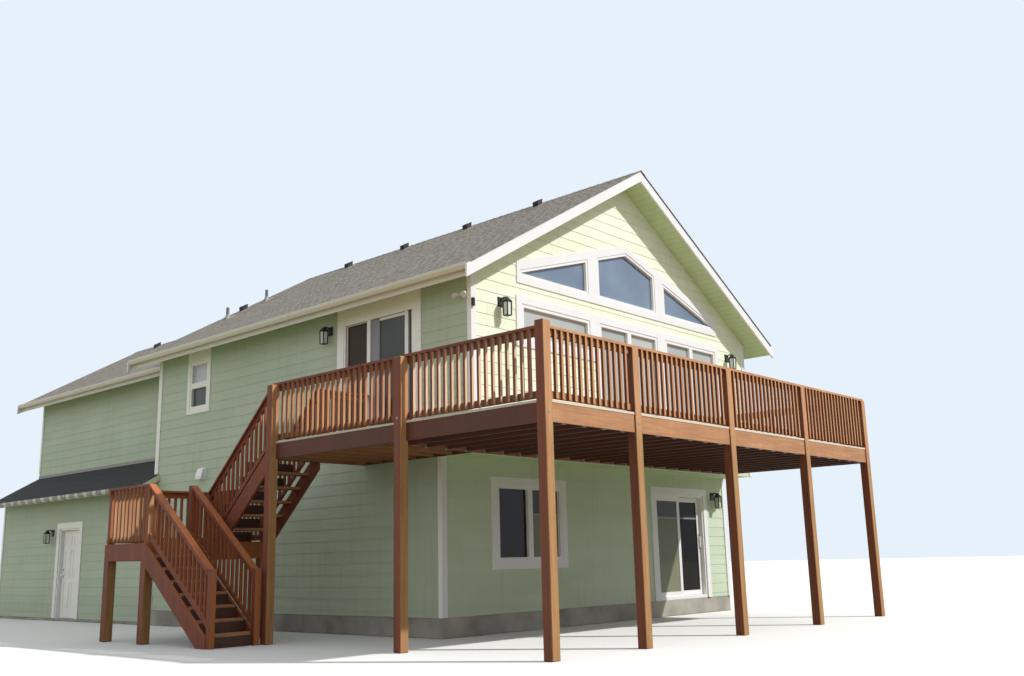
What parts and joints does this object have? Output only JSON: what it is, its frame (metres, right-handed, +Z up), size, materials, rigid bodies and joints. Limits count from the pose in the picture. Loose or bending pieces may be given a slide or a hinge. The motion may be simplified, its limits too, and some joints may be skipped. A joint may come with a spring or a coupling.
{
  "type": "two-storey gabled beach house with raised deck",
  "caption": "Two-storey gabled house with lap siding, a lower rear wing, a raised wrap-round timber deck on posts and a turning outdoor stair; sliding patio door and hinged entry door.",
  "frame": {"origin": "on the ground under the middle of the main block, at its underside", "axes": "+Z up, -Y towards the gable front, +X to the right seen from the front"},
  "size_m": [11.79, 20.425, 8.2879],
  "materials": {
    "concrete": "rough cast concrete",
    "wall_paint": "sage green painted lap siding",
    "floor_wood": "timber floor",
    "shingle": "grey-brown shingles",
    "dark_shingle": "charcoal shingles",
    "white_trim": "white painted boards",
    "gutter_white": "cream enamel",
    "dark_metal": "black satin paint",
    "glass": "clear window glass",
    "deck_wood": "red-brown stained timber"
  },
  "bodies": {
    "house": {"main_slab": "concrete", "ground_side_walls": "wall_paint", "front_wall_left": "wall_paint", "front_wall_right": "wall_paint", "front_wall_over_door": "wall_paint", "upper_floor": "floor_wood", "front_gable_wall": "wall_paint", "left_wall_upper": "wall_paint", "right_wall_upper": "wall_paint", "main_back_wall": "wall_paint", "main_roof": "shingle", "rear_slab": "concrete", "rear_side_wall_front": "wall_paint", "rear_side_wall_back": "wall_paint", "rear_side_wall_over_door": "wall_paint", "rear_right_wall": "wall_paint", "rear_upper_floor": "floor_wood", "rear_upper_side_walls": "wall_paint", "rear_end_wall": "wall_paint", "rear_roof": "shingle", "skirt_roofs": "dark_shingle", "barge_boards": "white_trim", "gutters": "gutter_white", "roof_vents": "dark_metal", "corner_boards": "white_trim", "gable_windows": "white_trim", "side_windows": "white_trim", "upper_glass": "glass", "ground_glass": "glass", "patio_door_frame": "white_trim", "entry_door_frame": "white_trim", "wall_lanterns": "dark_metal", "front_deck_frame": "deck_wood", "side_deck_frame": "deck_wood", "deck_boards": "deck_wood", "deck_posts": "deck_wood", "front_railing": "deck_wood", "side_railings": "deck_wood", "stair_stringers": "deck_wood", "stair_treads": "deck_wood", "stair_landing": "deck_wood", "stair_railings": "deck_wood", "landing_railings": "deck_wood"},
    "patio_slider": {"patio_sliding_panel": "white_trim", "patio_sliding_glass": "glass"},
    "entry_leaf": {"entry_door": "white_trim"}
  },
  "joints": [
    {"name": "patio_slide", "type": "slide", "parent": "house", "child": "patio_slider", "axis": [-1, 0, 0], "range_m": [0, 0.7]},
    {"name": "entry_hinge", "type": "hinge", "parent": "house", "child": "entry_leaf", "pos_m": [-4.0625, 8.013, 0.06], "axis": [0, 0, -1], "range_deg": [0, 90]}
  ]
}
